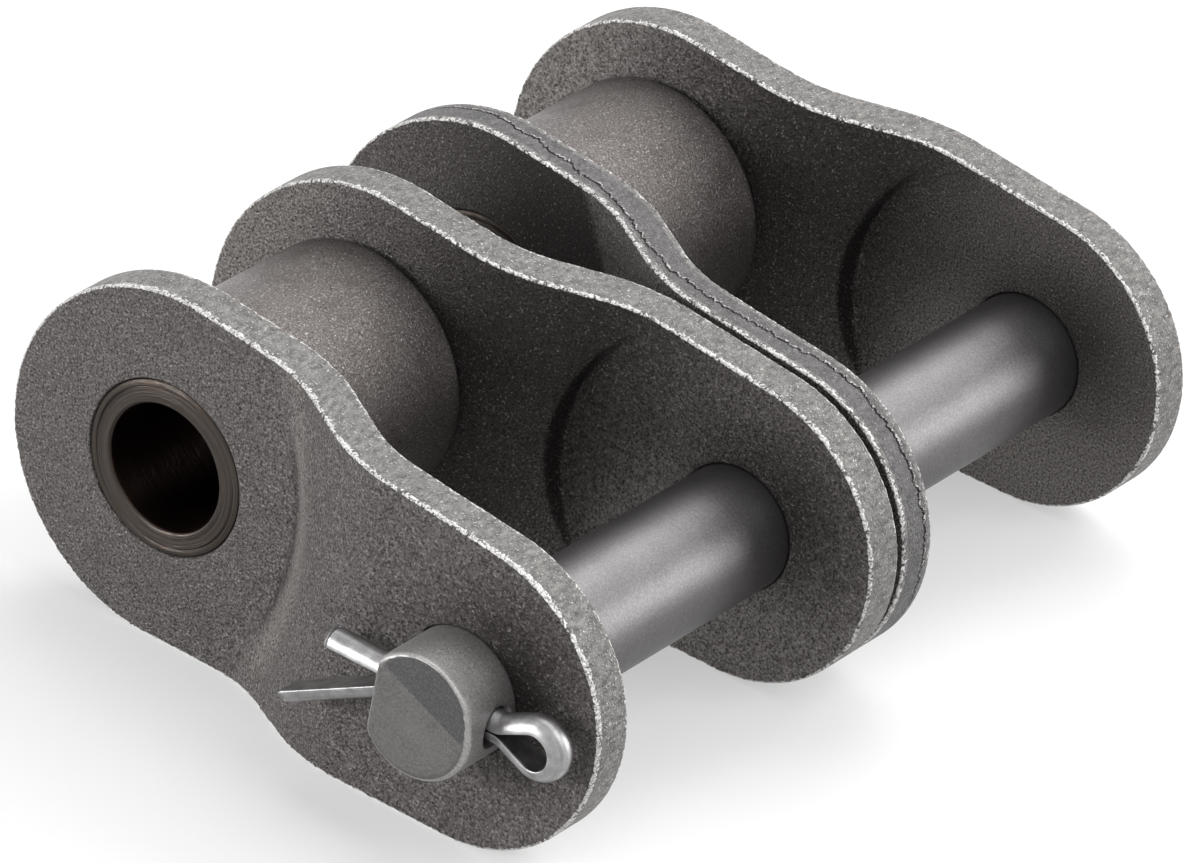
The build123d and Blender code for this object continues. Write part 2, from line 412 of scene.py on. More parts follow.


# Shot-peened hardened steel: dents about 0.15 mm across scatter the light, so the grey looks dull
# and leathery; its dark pits and pinpoints of light are painted shade and painted glints. The
# blanked band is bare steel, mottled in flecks of about 0.5 mm drawn out across it, with bright
# chips of 0.3 mm along its rims and painted glints and pits of its own. A jagged tear runs along
# the worst band.
dent, stain, chip, fleck = 0.15, 1.4, 0.3, 0.5
plate_steel, tree = new_material("peened_hardened_steel")
coords = add_node(tree, "ShaderNodeTexCoord").outputs
mark = {
    name: add_node(tree, "ShaderNodeAttribute", attribute_name=name).outputs["Fac"]
    for name in ("band", "wear", "tear_at", "film", "fold")
}
dents = {"Vector": coords["Object"], "Scale": 1000 / dent, "Detail": 3.0, "Roughness": 0.65}
dents = add_node(tree, "ShaderNodeTexNoise", dents)
stains = {"Vector": coords["Object"], "Scale": 1000 / stain, "Detail": 4.0, "Roughness": 0.6}
stains = add_node(tree, "ShaderNodeTexNoise", stains)
# Lighter tone for painted light on the plates' faces
painted_light = layered(tree, linear("#64605d"), [(dents, 0.37, 0.63, 1.0, linear("#aca8a4"))])
skin = layered(
    tree,
    linear("#3b3836"),
    [
        (dents, 0.37, 0.63, 1.0, linear("#757170")),
        (stains, 0.35, 0.65, 0.25, linear("#413d3b")),
        # Painted shade where the shading mark is above nothing, painted light where it is below
        (mark["film"], 0.0, 1.6, 0.85, linear("#262322")),
        (mark["film"], 0.0, -1.0, 0.85, painted_light),
        # Painted shade in the creases round the coined lands
        (mark["fold"], 0.2, 0.8, 0.7, linear("#0f0e0d")),
        # Painted glints on the dents and painted shade in their pits
        (dents, 0.62, 0.7, 0.45, linear("#b8b4b1")),
        (dents, 0.4, 0.32, 0.7, linear("#1e1c1b")),
    ],
)

streaks = {"Vector": coords["UV"], "Scale": (1.3 / fleck, 0.6 / fleck, 1.0)}
streaks = {"Vector": add_node(tree, "ShaderNodeMapping", streaks), "Scale": 1.0, "Detail": 5.0}
streaks = add_node(tree, "ShaderNodeTexNoise", {**streaks, "Roughness": 0.7})
blotches = {"Vector": coords["UV"], "Scale": 1 / stain, "Detail": 3.0, "Roughness": 0.6}
blotches = add_node(tree, "ShaderNodeTexNoise", blotches)
metal = layered(
    tree,
    linear("#555352"),
    [
        (streaks, 0.35, 0.65, 1.0, linear("#878583")),
        (blotches, 0.5, 0.68, 0.6, linear("#62605f")),
        # Painted glints on the dents and painted shade in their pits
        (dents, 0.6, 0.7, 0.9, linear("#cbcac8")),
        (dents, 0.4, 0.32, 0.6, linear("#3a3836")),
        (mark["tear_at"], 0.0, 0.3, 0.5, linear("#454448")),
    ],
)

# The tear's line wanders by up to 0.6 mm over 2.4 mm and by up to 0.35 mm over 0.5 mm. Its crack
# is up to 0.26 mm wide, with a broken bright lip on its far side.
crack_half, crack_length, lip_at = 0.13, 0.6, 0.17
along = add_node(tree, "ShaderNodeMapping", {"Vector": coords["UV"], "Scale": (1.0, 0.0, 1.0)})
across_band = add_node(tree, "ShaderNodeSeparateXYZ", {0: coords["UV"]}).outputs["Y"]
across_band = add_node(tree, "ShaderNodeMath", {0: across_band}, operation="ABSOLUTE")
tear = add_node(tree, "ShaderNodeMath", {0: across_band, 1: mark["tear_at"]}, operation="SUBTRACT")
for length, sway in ((2.4, 0.6), (0.5, 0.35)):
    wander = {"Vector": along, "Scale": 1 / length, "Detail": 5.0, "Roughness": 0.8}
    wander = {"Value": add_node(tree, "ShaderNodeTexNoise", wander), "From Min": 0.2}
    wander = {**wander, "From Max": 0.8, "To Min": -sway, "To Max": sway}
    wander = add_node(tree, "ShaderNodeMapRange", wander)
    tear = add_node(tree, "ShaderNodeMath", {0: tear, 1: wander}, operation="SUBTRACT")
width = {"Vector": along, "Scale": 1 / crack_length, "Detail": 4.0, "Roughness": 0.7}
width = {"Value": add_node(tree, "ShaderNodeTexNoise", width), "From Min": 0.35, "From Max": 0.65}
width = add_node(tree, "ShaderNodeMapRange", {**width, "To Min": 0.0, "To Max": crack_half})
off_line = add_node(tree, "ShaderNodeMath", {0: tear}, operation="ABSOLUTE")
off_line = add_node(tree, "ShaderNodeMath", {0: off_line, 1: width}, operation="SUBTRACT")
crack = {"Value": off_line, "From Min": 0.03, "From Max": 0.0}
crack = add_node(tree, "ShaderNodeMapRange", crack)
off_lip = add_node(tree, "ShaderNodeMath", {0: tear, 1: lip_at}, operation="SUBTRACT")
off_lip = add_node(tree, "ShaderNodeMath", {0: off_lip}, operation="ABSOLUTE")
broken = {"Value": streaks, "From Min": 0.35, "From Max": 0.55, "To Min": 0.12, "To Max": -0.07}
broken = add_node(tree, "ShaderNodeMapRange", broken)
off_lip = add_node(tree, "ShaderNodeMath", {0: off_lip, 1: broken}, operation="SUBTRACT")
lip_and_crack = [
    (off_lip, 0.05, 0.0, 0.65, linear("#c4c2bf")),
    (crack, 0.0, 1.0, 1.0, linear("#141211")),
]
metal = layered(tree, metal, lip_and_crack)

# Chips: bright where the wear, times a chance that varies from chip to chip and along the rim,
# is high
chips = {"Vector": coords["Object"], "Scale": 1000 / chip, "Detail": 4.0, "Roughness": 0.7}
chips = {"Value": add_node(tree, "ShaderNodeTexNoise", chips), "From Min": 0.38, "From Max": 0.62}
chips = add_node(tree, "ShaderNodeMapRange", {**chips, "To Min": 0.5, "To Max": 1.5})
drift = {"Value": stains, "From Min": 0.35, "From Max": 0.65, "To Min": -0.3, "To Max": 0.3}
drift = add_node(tree, "ShaderNodeMapRange", drift)
chance = add_node(tree, "ShaderNodeMath", {0: chips, 1: drift}, operation="ADD")
worn = add_node(tree, "ShaderNodeMath", {0: chance, 1: mark["wear"]}, operation="MULTIPLY")
bright = layered(tree, linear("#706e6d"), [(dents, 0.35, 0.6, 1.0, linear("#cfcecc"))])
band_and_chips = [(mark["band"], 0.0, 1.0, 1.0, metal), (worn, 0.5, 0.65, 1.0, bright)]
surface = layered(tree, skin, band_and_chips)
rough = {"Value": worn, "From Min": 0.5, "From Max": 0.65, "To Min": 0.54, "To Max": 0.36}
rough = add_node(tree, "ShaderNodeMapRange", rough)
height = add_node(tree, "ShaderNodeMath", {0: dents, 1: crack}, operation="SUBTRACT")
relief = {"Height": height, "Strength": 1.0, "Distance": 0.0002}
relief = add_node(tree, "ShaderNodeBump", relief)
shader = {"Base Color": surface, "Metallic": 1.0, "Roughness": rough, "Normal": relief}
shader = add_node(tree, "ShaderNodeBsdfPrincipled", shader)
add_node(tree, "ShaderNodeOutputMaterial", {"Surface": shader})

strands = {"near": -14.8, "far": 14.8}
for name, strand, side, rim_wear, torn, flat_x in (
    ("near_outer_plate", strands["near"], -1, (1.0, 0.75), False, hole_flat_x),
    ("near_inner_plate", strands["near"], 1, (0.85, 0.7), False, None),
    ("far_inner_plate", strands["far"], -1, (0.85, 0.7), True, None),
    ("far_outer_plate", strands["far"], 1, (0.85, 0.7), False, None),
):
    patches = offset_plate(strand, side, rim_wear, torn, flat_x)
    make_piece(name + "_peened", patches, plate_steel, name, "link")


# Bushes: case-hardened steel tube, turned to length, with both rims broken. Each is pressed
# through the narrow ends of its strand's plates until its ends lie flush. The faced ends keep
# fine turning rings, and one groove.
bush_r, bore_r, bush_half = 5.6, 4.05, 10.58
bush_edge_r, bore_edge_r, groove_r, groove_depth = 0.3, 0.22, 5.1, 0.1


def rounded_section(corners, radii):
    """Closed section (y, r) through corners, each rounded by an arc that touches both its sides.

    An arc point is the arc's centre plus its radius turned evenly from one side to the other.
    """
    corners = np.array(corners, float)
    before = np.roll(corners, 1, axis=0) - corners
    after = np.roll(corners, -1, axis=0) - corners
    before /= np.linalg.norm(before, axis=1)[:, None]
    after /= np.linalg.norm(after, axis=1)[:, None]
    half = np.arccos(np.clip((before * after).sum(1), -1, 1)) / 2
    radii = np.array(radii, float)
    bisector = (before + after) / np.linalg.norm(before + after, axis=1)[:, None]
    centres = corners + bisector * (radii / np.sin(half))[:, None]
    starts = corners + before * (radii / np.tan(half))[:, None] - centres
    ends = corners + after * (radii / np.tan(half))[:, None] - centres
    share = np.linspace(0, 1, 8)[:, None]
    sweep = (np.pi - 2 * half)[:, None, None]
    arcs = np.sin((1 - share) * sweep) * starts[:, None] + np.sin(share * sweep) * ends[:, None]
    points = (centres[:, None] + arcs / np.sin(sweep)).reshape(-1, 2)
    return np.concatenate([points, points[:1]])


def refined(section, spacing):
    """The section with points added along its straight runs, at most the spacing apart."""
    lengths = np.hypot(*np.diff(section, axis=0).T)
    run = np.concatenate([[0], np.cumsum(lengths)])
    pieces = np.maximum(1, np.ceil(lengths / spacing)).astype(int)
    steps = np.repeat(lengths / pieces, pieces)
    places = np.concatenate([[0], np.cumsum(steps)])
    places[-1] = run[-1]
    return np.stack([np.interp(places, run, section[:, i]) for i in (0, 1)], -1), places


def turned(section, count, **marks):
    """Surface of revolution: the section (y, r) carried round the Y axis."""
    section, run = refined(section, 0.5)
    angle = np.linspace(0, 2 * np.pi, count + 1)
    y = np.repeat(section[:, :1], count + 1, axis=1)
    x = section[:, 1:] * np.cos(angle)
    z = section[:, 1:] * np.sin(angle)
    x[:, -1] = x[:, 0]
    z[:, -1] = z[:, 0]
    uv = np.stack(np.broadcast_arrays(section[:, 1:] * angle, run[:, None]), -1)
    marks = {name: mark(section)[:, None] for name, mark in marks.items()}
    return grid(np.stack([x, y, z], -1), False, uv, **marks)


# Turned and hardened steel with a slight temper brown: rings about 0.15 mm apart, and browner
# inside the bore
ring, stain = 0.15, 1.1
bush_steel, tree = new_material("turned_hardened_steel")
coords = add_node(tree, "ShaderNodeTexCoord").outputs
bore = add_node(tree, "ShaderNodeAttribute", attribute_name="bore").outputs["Fac"]
rings = {"Vector": coords["UV"], "Scale": (0.1, 1 / ring, 1.0)}
rings = {"Vector": add_node(tree, "ShaderNodeMapping", rings), "Scale": 1.0, "Detail": 4.0}
rings = add_node(tree, "ShaderNodeTexNoise", {**rings, "Roughness": 0.7})
stains = {"Vector": coords["Object"], "Scale": 1000 / stain, "Detail": 4.0, "Roughness": 0.6}
stains = add_node(tree, "ShaderNodeTexNoise", stains)
tone = layered(
    tree,
    linear("#2f2b28"),
    [
        (rings, 0.35, 0.65, 1.0, linear("#4f4945")),
        (stains, 0.5, 0.7, 0.5, linear("#43382f")),
        (bore, 0.0, 1.0, 1.0, linear("#4a3b35")),
    ],
)
relief = add_node(tree, "ShaderNodeBump", {"Height": rings, "Strength": 0.5, "Distance": 0.0001})
shader = {"Base Color": tone, "Metallic": 1.0, "Roughness": 0.32, "Normal": relief}
shader = add_node(tree, "ShaderNodeBsdfPrincipled", shader)
add_node(tree, "ShaderNodeOutputMaterial", {"Surface": shader})

for strand_name, strand in strands.items():
    ends = strand - bush_half, strand + bush_half
    near_end = [
        (0, bore_r),
        (0, groove_r - groove_depth),
        (groove_depth, groove_r),
        (0, groove_r + groove_depth),
        (0, bush_r),
    ]
    corners = [(ends[0] + y, r) for y, r in near_end]
    corners += [(ends[1] - y, r) for y, r in near_end[::-1]]
    edge_radii = [bore_edge_r, 0.02, 0.02, 0.02, bush_edge_r]
    section = rounded_section(corners, edge_radii + edge_radii[::-1])
    patch = turned(section, 160, bore=lambda s: np.clip((bore_r + 0.05 - s[:, 1]) / 0.05, 0, 1))
    name = strand_name + "_bush"
    make_piece(name + "_turned", [patch], bush_steel, name, "link")


# Rollers: hardened steel rings, cold formed and shot peened to a sparkling grain. Each turns
# freely on its bush between the plates.
roller_r, roller_bore_r, roller_half = 7.94, 5.65, 7.6
roller_edge_r, roller_bore_edge_r = 0.4, 0.12

# Cold-formed hardened steel, peened finer than the plates, with dents about 0.13 mm across, over
# a darker and slightly brown skin; the brightest dents are painted glints
dent, stain = 0.13, 2.2
roller_steel, tree = new_material("peened_roller_steel")
coords = add_node(tree, "ShaderNodeTexCoord").outputs
dents = {"Vector": coords["Object"], "Scale": 1000 / dent, "Detail": 4.0, "Roughness": 0.65}
dents = add_node(tree, "ShaderNodeTexNoise", dents)
stains = {"Vector": coords["Object"], "Scale": 1000 / stain, "Detail": 4.0, "Roughness": 0.6}
stains = add_node(tree, "ShaderNodeTexNoise", stains)
tone = layered(
    tree,
    linear("#3d3836"),
    [
        (dents, 0.33, 0.67, 1.0, linear("#807b79")),
        (stains, 0.5, 0.7, 0.4, linear("#433b38")),
        # Painted glints on the dents
        (dents, 0.61, 0.7, 0.8, linear("#d2cfcc")),
    ],
)
relief = add_node(tree, "ShaderNodeBump", {"Height": dents, "Strength": 1.0, "Distance": 0.0001})
shader = {"Base Color": tone, "Metallic": 1.0, "Roughness": 0.34, "Normal": relief}
shader = add_node(tree, "ShaderNodeBsdfPrincipled", shader)
add_node(tree, "ShaderNodeOutputMaterial", {"Surface": shader})

for strand_name, strand in strands.items():
    ends = strand - roller_half, strand + roller_half
    corners = [
        (ends[0], roller_bore_r),
        (ends[0], roller_r),
        (ends[1], roller_r),
        (ends[1], roller_bore_r),
    ]
    edge_radii = [roller_bore_edge_r, roller_edge_r, roller_edge_r, roller_bore_edge_r]
    patch = turned(rounded_section(corners, edge_radii), 180)
    name = strand_name + "_roller"
    make_piece(name + "_peened", [patch], roller_steel, name, name)


# Connecting pin: turned and ground bar. Its near end is flatted on one side, cropped to a
# slanting facet and cross drilled for the split pin, and its far end is upset to a flat head.
pin_r, pin_end_y, pin_edge, shoulder_y = 3.97, -33.79, 0.5, -26.43
pin_flat_x, pin_flat_soft, row_gap = -3.1, 0.2, 0.06
head_y, head_end_y, head_r, head_edge = 29.38, 30.98, 4.7, 0.6
hole_y, hole_r, hole_turn, pocket_depth = -30.93, 1.3, np.radians(3.5), 2.6
facet_z, facet_turn, facet_lean = 1.37, np.radians(-20.7), np.radians(5)


def drilled(across, along, height, centre):
    """Pulls square grid lines round the hole into circles and sinks those inside it to a pocket.

    A point's square distance from the centre is the larger of its two offsets. Up to twice the
    hole's radius it moves so that its true distance becomes more and more that square distance.
    Just inside the hole's radius the surface drops straight in.
    """
    a = across - centre
    b = along - hole_y
    square = np.maximum(np.abs(a), np.abs(b))
    true = np.maximum(np.hypot(a, b), 1e-9)
    pull = np.clip((2 * hole_r - square) / hole_r, 0, 1)
    scale = (1 - pull) + pull * square / true
    wall = np.clip((hole_r - square) / (0.25 * hole_r), 0, 1)
    return centre + a * scale, hole_y + b * scale, height * wall


def connecting_pin():
    """Rows of one section loop carried along the pin.

    The loop runs up the +X side and down the -X side, its points evenly spread in z across the
    drilled hole and by angle above and below it. A row has its y and its scale about the axis.
    The flat holds the -X side back from the end to the shoulder. The facet is a leaning plane
    that cuts the end back where it lies behind it.
    """

    def heights(centre):
        hole = centre + hole_r * np.linspace(-2, 2, 49)
        low = np.arcsin(hole[0] / pin_r)
        high = np.arcsin(hole[-1] / pin_r)
        below = pin_r * np.sin(np.linspace(-np.pi / 2, low, 16)[:-1])
        above = pin_r * np.sin(np.linspace(high, np.pi / 2, 16)[1:])
        return np.concatenate([below, hole, above])

    plus_centre = np.tan(hole_turn) * pin_r
    minus_centre = np.tan(hole_turn) * pin_flat_x
    up, down = heights(plus_centre), heights(minus_centre)[::-1]
    z_loop = np.concatenate([up, down[1:]])
    plus = np.arange(len(z_loop)) < len(up)

    turn = np.linspace(0, np.pi / 2, 9)
    end_scale = 1 - pin_edge / pin_r * (1 - np.sin(turn))
    end_y = pin_end_y + pin_edge * (1 - np.cos(turn))
    cap = np.linspace(0, end_scale[0], 60)[:-1]
    drill = hole_y + hole_r * np.linspace(-2, 2, 49)
    drill = drill[drill > end_y[-1] + 0.02]
    to_shoulder = np.linspace(drill[-1], shoulder_y, 10)[1:]
    shaft = np.linspace(shoulder_y + row_gap, head_y - row_gap, 40)
    shaft = np.concatenate([[shoulder_y], shaft, [head_y]])
    head_scale = head_r / pin_r
    head_turn = np.linspace(0, np.pi / 2, 8)
    head_ys = head_end_y - head_edge * (1 - np.sin(head_turn))
    head_scales = head_scale - head_edge / pin_r * (1 - np.cos(head_turn))
    far_cap = np.linspace(head_scales[-1], 0, 12)[1:]

    ys = np.concatenate(
        [
            np.full(len(cap), pin_end_y),
            end_y,
            drill,
            to_shoulder,
            shaft,
            [head_y],
            head_ys,
            np.full(len(far_cap), head_end_y),
        ]
    )
    scales = np.concatenate(
        [
            cap,
            end_scale,
            np.ones(len(drill) + len(to_shoulder) + len(shaft)),
            [head_scale],
            head_scales,
            far_cap,
        ]
    )
    flatted = np.arange(len(ys)) < len(cap) + len(end_y) + len(drill) + len(to_shoulder)
    rows = len(ys)
    y = np.repeat(ys[:, None], len(z_loop), axis=1)
    z = np.repeat(z_loop[None], rows, axis=0)
    sink = np.zeros_like(z)
    whole = (scales == 1)[:, None] & flatted[:, None]
    for mask, centre in ((plus, plus_centre), (~plus, minus_centre)):
        moved_z, moved_y, depth = drilled(z, y, pocket_depth, centre)
        use = whole & mask[None]
        z = np.where(use, moved_z, z)
        y = np.where(use, moved_y, y)
        sink = np.where(use, depth, sink)
    outwards = np.where(plus, 1, -1)
    x = np.sqrt(np.maximum(pin_r**2 - z**2, 0)) * outwards
    x = np.where(flatted[:, None] & (x < 0), softly(x, pin_flat_x, pin_flat_soft, 1), x)
    x = (x - outwards * sink) * scales[:, None]
    z = z * scales[:, None]
    above = (z - facet_z) * np.cos(facet_turn) - x * np.sin(facet_turn)
    facet_y = pin_end_y + np.tan(facet_lean) * above
    facet = np.clip((facet_y - y) / 0.01, 0, 1)
    y = np.maximum(y, facet_y)
    x_loop = np.sqrt(np.maximum(pin_r**2 - z_loop**2, 0)) * outwards
    girth = np.hypot(np.diff(z_loop, prepend=z_loop[0]), np.diff(x_loop, prepend=x_loop[0]))
    girth = np.cumsum(girth) * scales[:, None]
    along = np.cumsum(np.hypot(np.diff(ys, prepend=ys[0]), pin_r * np.diff(scales, prepend=0)))
    uv = np.stack(np.broadcast_arrays(girth, along[:, None]), -1)
    pocket = np.clip(sink / 0.6, 0, 1)
    end = np.broadcast_to(((ys < pin_end_y + 0.05) & (scales < 0.95))[:, None] * 1.0, z.shape)
    stub = np.clip((shoulder_y - y) / 0.3, 0, 1)
    marks = {"pocket": pocket, "end": end, "facet": facet, "stub": stub}
    return [grid(np.stack([pitch + x, y, z], -1), False, uv, **marks)]


# Ground alloy steel: satin, with fine marks round the pin about 0.2 mm apart. The stub that
# carries the split pin is milled and duller, its sawn end is matte, and the cropped facet a
# little darker.
ring, cloud, speck = 0.2, 2.4, 0.14
pin_steel, tree = new_material("ground_pin_steel")
coords = add_node(tree, "ShaderNodeTexCoord").outputs
mark = {
    name: add_node(tree, "ShaderNodeAttribute", attribute_name=name).outputs["Fac"]
    for name in ("pocket", "end", "facet", "stub")
}
rings = {"Vector": coords["UV"], "Scale": (0.25, 1 / ring, 1.0)}
rings = {"Vector": add_node(tree, "ShaderNodeMapping", rings), "Scale": 1.0, "Detail": 3.0}
rings = add_node(tree, "ShaderNodeTexNoise", {**rings, "Roughness": 0.6})
clouds = {"Vector": coords["Object"], "Scale": 1000 / cloud, "Detail": 6.0, "Roughness": 0.6}
clouds = add_node(tree, "ShaderNodeTexNoise", clouds)
specks = {"Vector": coords["Object"], "Scale": 1000 / speck, "Detail": 3.0, "Roughness": 0.6}
specks = add_node(tree, "ShaderNodeTexNoise", specks)
sawn = layered(
    tree,
    linear("#545352"),
    [(specks, 0.3, 0.7, 1.0, linear("#6c6b6a")), (clouds, 0.4, 0.65, 0.5, linear("#6e6d6c"))],
)
cropped = layered(tree, linear("#424141"), [(specks, 0.3, 0.7, 1.0, linear("#575656"))])
milled = layered(tree, linear("#868483"), [(specks, 0.3, 0.7, 1.0, linear("#aaa8a7"))])
tone = layered(
    tree,
    linear("#5c5a5b"),
    [
        (clouds, 0.3, 0.7, 1.0, linear("#636162")),
        (specks, 0.4, 0.7, 0.4, linear("#828081")),
        (mark["stub"], 0.0, 1.0, 1.0, milled),
        (mark["end"], 0.0, 1.0, 1.0, sawn),
        (mark["facet"], 0.0, 1.0, 1.0, cropped),
        # Painted shade in the drilled hole's shallow pocket
        (mark["pocket"], 0.0, 1.0, 1.0, linear("#1c1a19")),
    ],
)
gloss = {"Value": mark["stub"], "To Min": 0.44, "To Max": 0.52}
gloss = add_node(tree, "ShaderNodeMapRange", gloss)
height = add_node(tree, "ShaderNodeMath", {0: rings, 1: specks}, operation="ADD")
relief = add_node(tree, "ShaderNodeBump", {"Height": height, "Strength": 0.3, "Distance": 0.00005})
shader = {"Base Color": tone, "Metallic": 1.0, "Roughness": gloss, "Normal": relief}
shader = add_node(tree, "ShaderNodeBsdfPrincipled", shader)
add_node(tree, "ShaderNodeOutputMaterial", {"Surface": shader})
name = "connecting_pin"
make_piece(name + "_ground", connecting_pin(), pin_steel, name, "link")


# Split pin: half-round steel wire, zinc plated, folded flat side in to an eye. It is pushed
# through the pin's cross hole and its long leg is bent down to keep it there.
wire_r, leg_v, flare = 0.95, 0.05, np.radians(25)
short_tip_u, neck_u, eye_inner_r, fold_r = -8.07, 4.52, 1.11, 1.6
eye_u = neck_u + eye_inner_r * np.sin(flare)
eye_u += (eye_inner_r * np.cos(flare) - leg_v) / np.tan(flare)
cheek = (eye_u - eye_inner_r * np.sin(flare), eye_inner_r * np.cos(flare))
bend_u, long_turn, long_length = -2.8, np.radians(28), 9.2
long_tip = (bend_u - long_length * np.cos(long_turn), -leg_v - long_length * np.sin(long_turn))
wire_lift, wire_corner, tip_length = 0.2, 0.12, 0.16


def arc_corner(before, corner, after, radius):
    """Arc that rounds the corner of a bent wire and touches both its straight runs.

    Its centre lies on the line that halves the corner, and its point turns evenly about it.
    """
    before, corner, after = (np.array(p, float) for p in (before, corner, after))
    back = (before - corner) / np.linalg.norm(before - corner)
    ahead = (after - corner) / np.linalg.norm(after - corner)
    half = np.arccos(np.clip(back @ ahead, -1, 1)) / 2
    centre = corner + (back + ahead) / np.linalg.norm(back + ahead) * radius / np.sin(half)
    start = corner + back * radius / np.tan(half) - centre
    stop = corner + ahead * radius / np.tan(half) - centre
    share = np.linspace(0, 1, 14)[:, None]
    sweep = np.pi - 2 * half
    arc = np.sin((1 - share) * sweep) * start + np.sin(share * sweep) * stop
    return centre + arc / np.sin(sweep)


def split_pin():
    """Half-round section carried along the wire: out along the short leg, round the eye, back.

    A section point stands off the path by its offset across the wire and by its bulge, which
    lies to the left of the direction of travel, outside the fold. At both tips the section
    shrinks to a point.
    """
    spread = np.pi / 2 + flare
    eye = np.linspace(spread, -spread, 48)[:, None]
    around = [eye_u, 0] + eye_inner_r * np.concatenate([np.cos(eye), np.sin(eye)], axis=1)
    low_cheek = (cheek[0], -cheek[1])
    path = np.concatenate(
        [
            [(short_tip_u, leg_v)],
            arc_corner((short_tip_u, leg_v), (neck_u, leg_v), cheek, fold_r),
            around,
            arc_corner(low_cheek, (neck_u, -leg_v), (bend_u, -leg_v), fold_r),
            arc_corner((neck_u, -leg_v), (bend_u, -leg_v), long_tip, fold_r),
            [long_tip],
        ]
    )
    lengths = np.hypot(*np.diff(path, axis=0).T)
    run = np.concatenate([[0], np.cumsum(lengths)])
    even = np.linspace(0, run[-1], 260)
    path = np.stack([np.interp(even, run, path[:, i]) for i in (0, 1)], -1)
    ahead = np.gradient(path, axis=0)
    ahead /= np.linalg.norm(ahead, axis=1)[:, None]
    left = np.stack([-ahead[:, 1], ahead[:, 0]], -1)

    round_part = np.linspace(0.09, np.pi - 0.09, 25)
    arc = wire_r * np.stack([np.cos(round_part), np.sin(round_part)], -1)
    flat_half = wire_r - wire_corner
    left_edge = np.array([[-wire_r + 0.005, 0.05], [-wire_r + 0.04, 0.012], [-flat_half, 0]])
    flat = np.stack([np.linspace(-flat_half, flat_half, 9)[1:-1], np.zeros(7)], -1)
    right_edge = left_edge[::-1] * [-1, 1]
    section = np.concatenate([arc, left_edge, flat, right_edge])
    section = np.concatenate([section, section[:1]])

    middle = np.array([0, wire_r * 0.42])
    tip_scales = np.array([0, 0.5, 0.88, 0.95, 0.985])
    tip_backs = np.array([0, 0, 0, 0.03, 0.08])
    tip_rows = len(tip_scales)
    scales = np.concatenate([tip_scales, np.ones(len(path)), tip_scales[::-1]])
    centre = np.concatenate(
        [
            path[0] + ahead[0] * tip_backs[:, None],
            path[:1] + ahead[:1] * tip_length,
            path[1:-1],
            path[-1:] - ahead[-1:] * tip_length,
            path[-1] - ahead[-1] * tip_backs[::-1, None],
        ]
    )
    first, last = (np.repeat(end, tip_rows, axis=0) for end in (left[:1], left[-1:]))
    side = np.concatenate([first, left, last])
    shaped = middle + (section[None] - middle) * scales[:, None, None]
    across = shaped[..., 0]
    u, v = np.moveaxis(centre[:, None] + side[:, None] * shaped[..., 1:], -1, 0)
    x = pitch + u * np.cos(hole_turn) - v * np.sin(hole_turn)
    z = wire_lift + u * np.sin(hole_turn) + v * np.cos(hole_turn)
    travel = np.concatenate([np.zeros(tip_rows), even, np.full(tip_rows, even[-1])])
    girth = np.concatenate([[0], np.cumsum(np.hypot(*np.diff(section, axis=0).T))])
    uv = np.stack(np.broadcast_arrays(travel[:, None], girth[None]), -1)
    return [grid(np.stack([x, hole_y - across, z], -1), False, uv)]


# Drawn steel wire with a thin satin plating: fine drawing lines 0.2 mm apart, slightly hazy
line, haze_size = 0.2, 0.9
cotter_wire, tree = new_material("plated_drawn_wire")
coords = add_node(tree, "ShaderNodeTexCoord").outputs
lines = {"Vector": coords["UV"], "Scale": (0.2, 1 / line, 1.0)}
lines = {"Vector": add_node(tree, "ShaderNodeMapping", lines), "Scale": 1.0, "Detail": 4.0}
lines = add_node(tree, "ShaderNodeTexNoise", {**lines, "Roughness": 0.6})
haze = {"Vector": coords["Object"], "Scale": 1000 / haze_size, "Detail": 3.0, "Roughness": 0.6}
haze = add_node(tree, "ShaderNodeTexNoise", haze)
tone = layered(
    tree,
    linear("#838282"),
    [(haze, 0.3, 0.7, 1.0, linear("#a9a8a9")), (lines, 0.5, 0.65, 0.4, linear("#706f6f"))],
)
gloss = {"Value": haze, "From Min": 0.3, "From Max": 0.7, "To Min": 0.36, "To Max": 0.44}
gloss = add_node(tree, "ShaderNodeMapRange", gloss)
relief = add_node(tree, "ShaderNodeBump", {"Height": lines, "Strength": 0.4, "Distance": 0.00004})
shader = {"Base Color": tone, "Metallic": 1.0, "Roughness": gloss, "Normal": relief}
shader = add_node(tree, "ShaderNodeBsdfPrincipled", shader)
add_node(tree, "ShaderNodeOutputMaterial", {"Surface": shader})
make_piece("split_pin_plated", split_pin(), cotter_wire, "cotter_pin", "link")


# Ground: a plain white sheet, turned by the 3.4 degrees at which the link rests on its lower
# edges, and a hair below them so that the two don't share a plane
rest_narrow = np.array([0.673, -11.380])
rest_wide = np.array([25.98, -9.883])
slope = (rest_wide - rest_narrow)[1] / (rest_wide - rest_narrow)[0]
reach, sink = 2500.0, 0.01
xs = np.array([-reach, reach])
zs = rest_narrow[1] + (xs - rest_narrow[0]) * slope - sink
sheet = bpy.data.meshes.new("white_ground")
corners = [
    (xs[0], -reach, zs[0]),
    (xs[1], -reach, zs[1]),
    (xs[1], reach, zs[1]),
    (xs[0], reach, zs[0]),
]
sheet.from_pydata(np.array(corners) / 1000, [], [(0, 1, 2, 3)])
ground = bpy.data.objects.new("white_ground", sheet)
bpy.context.scene.collection.objects.link(ground)


def seen_directly(tree):
    """1 for rays from the camera and those that metal mirrors or glass lets through, else 0."""
    rays = add_node(tree, "ShaderNodeLightPath").outputs
    inputs = {0: rays["Is Glossy Ray"], 1: rays["Is Transmission Ray"]}
    mirrored = add_node(tree, "ShaderNodeMath", inputs, operation="MAXIMUM")
    inputs = {0: rays["Is Camera Ray"], 1: mirrored}
    return add_node(tree, "ShaderNodeMath", inputs, operation="MAXIMUM")


